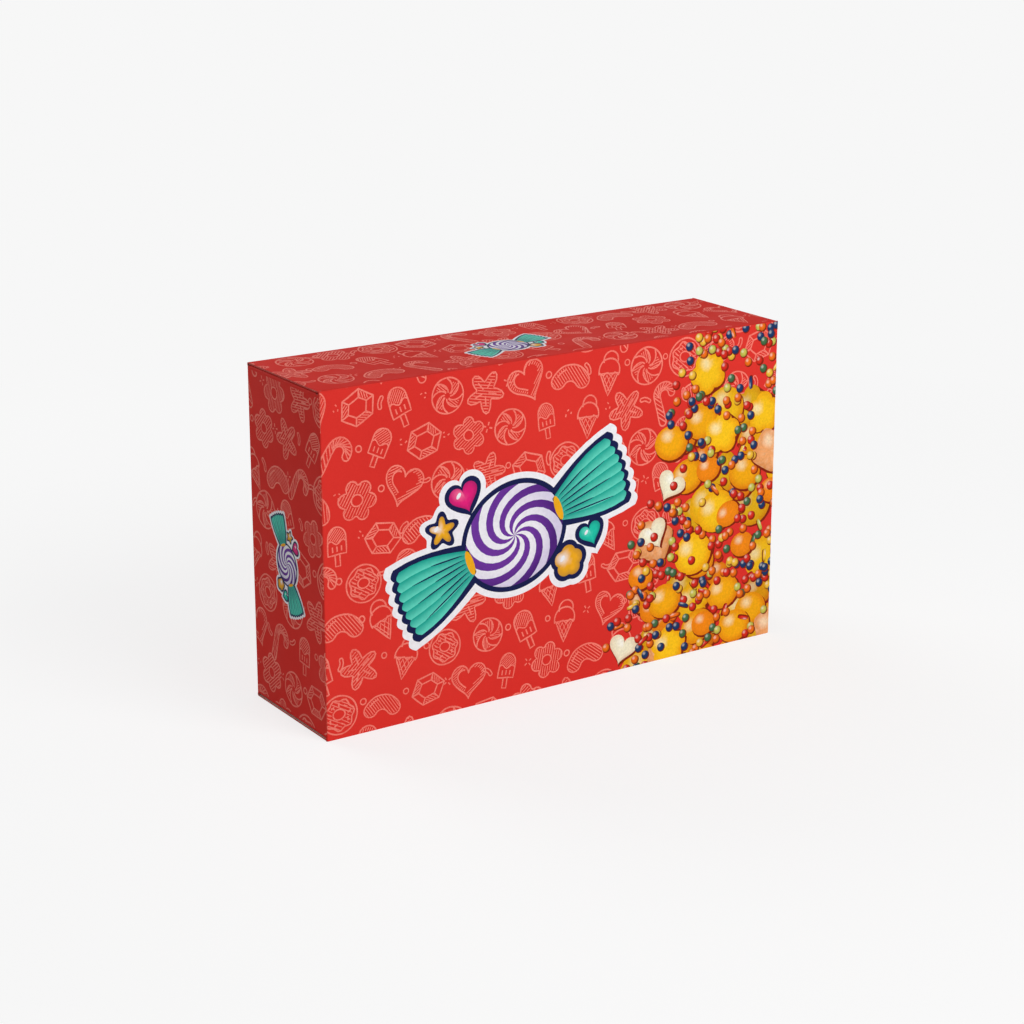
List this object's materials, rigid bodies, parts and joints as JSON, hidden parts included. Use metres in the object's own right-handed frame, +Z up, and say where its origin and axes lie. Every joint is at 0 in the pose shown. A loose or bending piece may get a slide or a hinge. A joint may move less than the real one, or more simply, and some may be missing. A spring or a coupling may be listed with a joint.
{
  "type": "candy box",
  "caption": "Folding paperboard carton for sweets, with tuck-in closure panels and dust flaps hinged on creases at the top and the bottom.",
  "frame": {"origin": "centre of the footprint, on the underside of the closed carton", "axes": "+X along the width, +Y from the front panel to the back panel, +Z up"},
  "size_m": [0.19, 0.05, 0.12],
  "materials": {
    "printed_board": "offset-printed folding boxboard with a soft satin varnish",
    "raw_board": "unprinted matt boxboard",
    "seam_glue": "dried clear dispersion glue"
  },
  "bodies": {
    "carton": {"front_panel": "printed_board", "back_panel": "printed_board", "left_side_panel": "printed_board", "right_side_panel": "printed_board", "glue_flap": "raw_board", "seam_glue": "seam_glue"},
    "top_closure": {"top_closure_panel": "printed_board"},
    "top_tuck": {"top_tuck_flap": "printed_board"},
    "top_left_dust": {"top_left_dust_flap": "printed_board"},
    "top_right_dust": {"top_right_dust_flap": "printed_board"},
    "bottom_closure": {"bottom_closure_panel": "printed_board"},
    "bottom_tuck": {"bottom_tuck_flap": "printed_board"},
    "bottom_left_dust": {"bottom_left_dust_flap": "printed_board"},
    "bottom_right_dust": {"bottom_right_dust_flap": "printed_board"}
  },
  "joints": [
    {"name": "top_closure_crease", "type": "hinge", "parent": "carton", "child": "top_closure", "pos_m": [0, 0.025, 0.12], "axis": [-1, 0, 0], "range_deg": [0, 175]},
    {"name": "top_tuck_crease", "type": "hinge", "parent": "top_closure", "child": "top_tuck", "pos_m": [0, -0.0241, 0.12], "axis": [-1, 0, 0], "range_deg": [0, 43.75]},
    {"name": "top_left_dust_crease", "type": "hinge", "parent": "carton", "child": "top_left_dust", "pos_m": [-0.095, 0, 0.1191], "axis": [0, -1, 0], "range_deg": [0, 87.5]},
    {"name": "top_right_dust_crease", "type": "hinge", "parent": "carton", "child": "top_right_dust", "pos_m": [0.095, 0, 0.1191], "axis": [0, 1, 0], "range_deg": [0, 87.5]},
    {"name": "bottom_closure_crease", "type": "hinge", "parent": "carton", "child": "bottom_closure", "pos_m": [0, 0.025, 0], "axis": [1, 0, 0], "range_deg": [0, 175]},
    {"name": "bottom_tuck_crease", "type": "hinge", "parent": "bottom_closure", "child": "bottom_tuck", "pos_m": [0, -0.0241, 0], "axis": [1, 0, 0], "range_deg": [0, 43.75]},
    {"name": "bottom_left_dust_crease", "type": "hinge", "parent": "carton", "child": "bottom_left_dust", "pos_m": [-0.095, 0, 0.0009], "axis": [0, 1, 0], "range_deg": [0, 87.5]},
    {"name": "bottom_right_dust_crease", "type": "hinge", "parent": "carton", "child": "bottom_right_dust", "pos_m": [0.095, 0, 0.0009], "axis": [0, -1, 0], "range_deg": [0, 87.5]}
  ],
  "couplings": [
    {"joint": "top_tuck_crease", "follows": "top_closure_crease", "ratio": 0.25},
    {"joint": "top_left_dust_crease", "follows": "top_closure_crease", "ratio": 0.5},
    {"joint": "top_right_dust_crease", "follows": "top_closure_crease", "ratio": 0.5},
    {"joint": "bottom_tuck_crease", "follows": "bottom_closure_crease", "ratio": 0.25},
    {"joint": "bottom_left_dust_crease", "follows": "bottom_closure_crease", "ratio": 0.5},
    {"joint": "bottom_right_dust_crease", "follows": "bottom_closure_crease", "ratio": 0.5}
  ]
}
